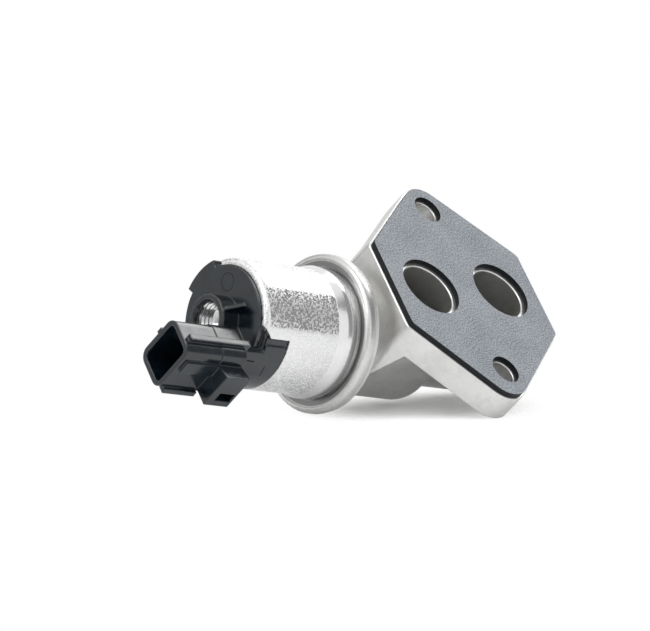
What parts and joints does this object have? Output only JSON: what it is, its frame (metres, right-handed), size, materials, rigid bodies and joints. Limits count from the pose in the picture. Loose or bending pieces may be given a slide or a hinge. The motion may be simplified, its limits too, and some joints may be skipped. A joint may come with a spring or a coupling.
{
  "type": "idle air control valve",
  "caption": "Idle air control valve: a round solenoid with a moulded plug socket, clamped to a cast body whose slanted diamond flange carries side-by-side air ports and a gasket.",
  "frame": {"origin": "centre of the gasket's outer face, midway between the fixing holes", "axes": "+Z out of the mating face towards the engine; the solenoid lies along X with its plug socket at -X; the fixing holes are in line along Y"},
  "size_m": [0.1158, 0.0692, 0.0443],
  "materials": {
    "cast_aluminium": "as cast, satin",
    "gasket_sheet": "fine grained, matt",
    "turned_brass": "turned",
    "plated_steel": "zinc plated",
    "bearing_bronze": "sintered, oiled",
    "pressed_steel": "pressed and plated",
    "seal_rubber": "smooth",
    "can_steel": "drawn and plated, bright",
    "natural_nylon": "moulded",
    "copper_wire": "enamelled",
    "coil_tape": "wrapped tape",
    "core_iron": "turned",
    "black_plastic": "moulded, satin",
    "tinned_blade": "tinned",
    "spring_wire": "drawn",
    "ground_steel": "ground",
    "valve_plastic": "moulded"
  },
  "bodies": {
    "housing": {"valve_body": "cast_aluminium", "flange_gasket": "gasket_sheet", "seat_ring": "turned_brass", "end_plug": "plated_steel", "tail_bush": "bearing_bronze", "front_bush": "bearing_bronze", "front_plate": "plated_steel", "clamp_ring": "pressed_steel", "body_seal": "seal_rubber", "solenoid_can": "can_steel", "bobbin": "natural_nylon", "coil_winding": "copper_wire", "coil_wrap": "coil_tape", "rear_plate": "plated_steel", "fixed_core": "core_iron", "guide_sleeve": "turned_brass", "adjusting_screw": "plated_steel", "cap_seal": "seal_rubber", "connector_cap": "black_plastic", "terminal_upper": "tinned_blade", "terminal_lower": "tinned_blade", "return_spring": "spring_wire", "balance_spring": "spring_wire"},
    "valve": {"valve_shaft": "ground_steel", "armature": "core_iron", "valve_head": "valve_plastic", "head_clip": "spring_wire", "spring_washer": "plated_steel"}
  },
  "joints": [
    {"name": "valve_slide", "type": "slide", "parent": "housing", "child": "valve", "axis": [-1, 0, 0], "range_m": [0, 0.003], "stiffness_N_per_m": 1000, "springref_m": -0.003, "deforming": ["return_spring", "balance_spring"]}
  ]
}
